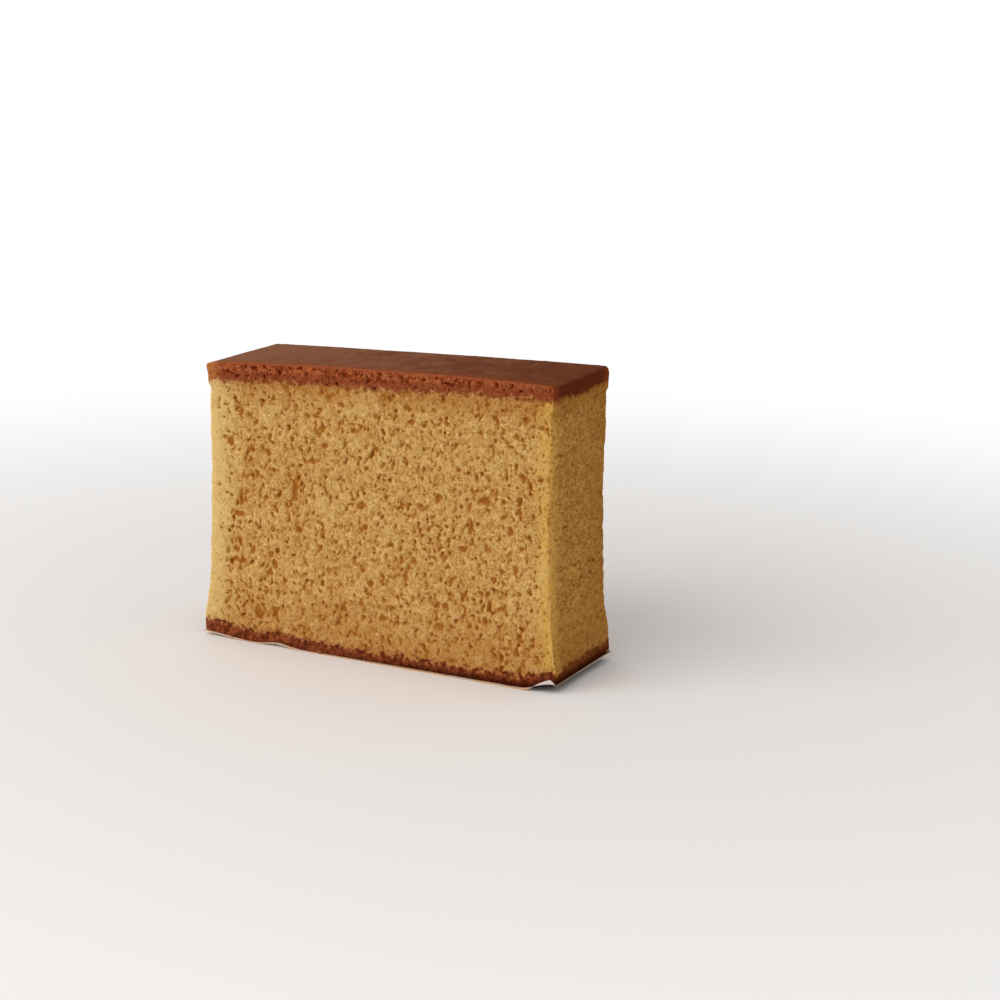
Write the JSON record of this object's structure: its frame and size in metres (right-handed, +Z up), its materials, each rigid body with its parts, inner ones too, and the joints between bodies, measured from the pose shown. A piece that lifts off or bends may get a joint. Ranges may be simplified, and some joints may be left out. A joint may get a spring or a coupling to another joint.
{
  "type": "castella sponge cake slice",
  "caption": "Upright slice of fine-crumbed castella sponge with a flat browned top and a dark base, standing on its backing paper.",
  "frame": {"origin": "the surface that the paper rests on, under the middle of the slice", "axes": "+X across the slice from one end to the other, +Y through it from the front cut to the back cut, +Z up"},
  "size_m": [0.0692, 0.0234, 0.0511],
  "materials": {
    "sponge": "matt open crumb of a warm tan yellow, with a satin brown top skin and a dark brown base",
    "paper": "matt off-white baking paper"
  },
  "bodies": {
    "root": {"slice": "sponge", "paper": "paper"}
  },
  "joints": []
}
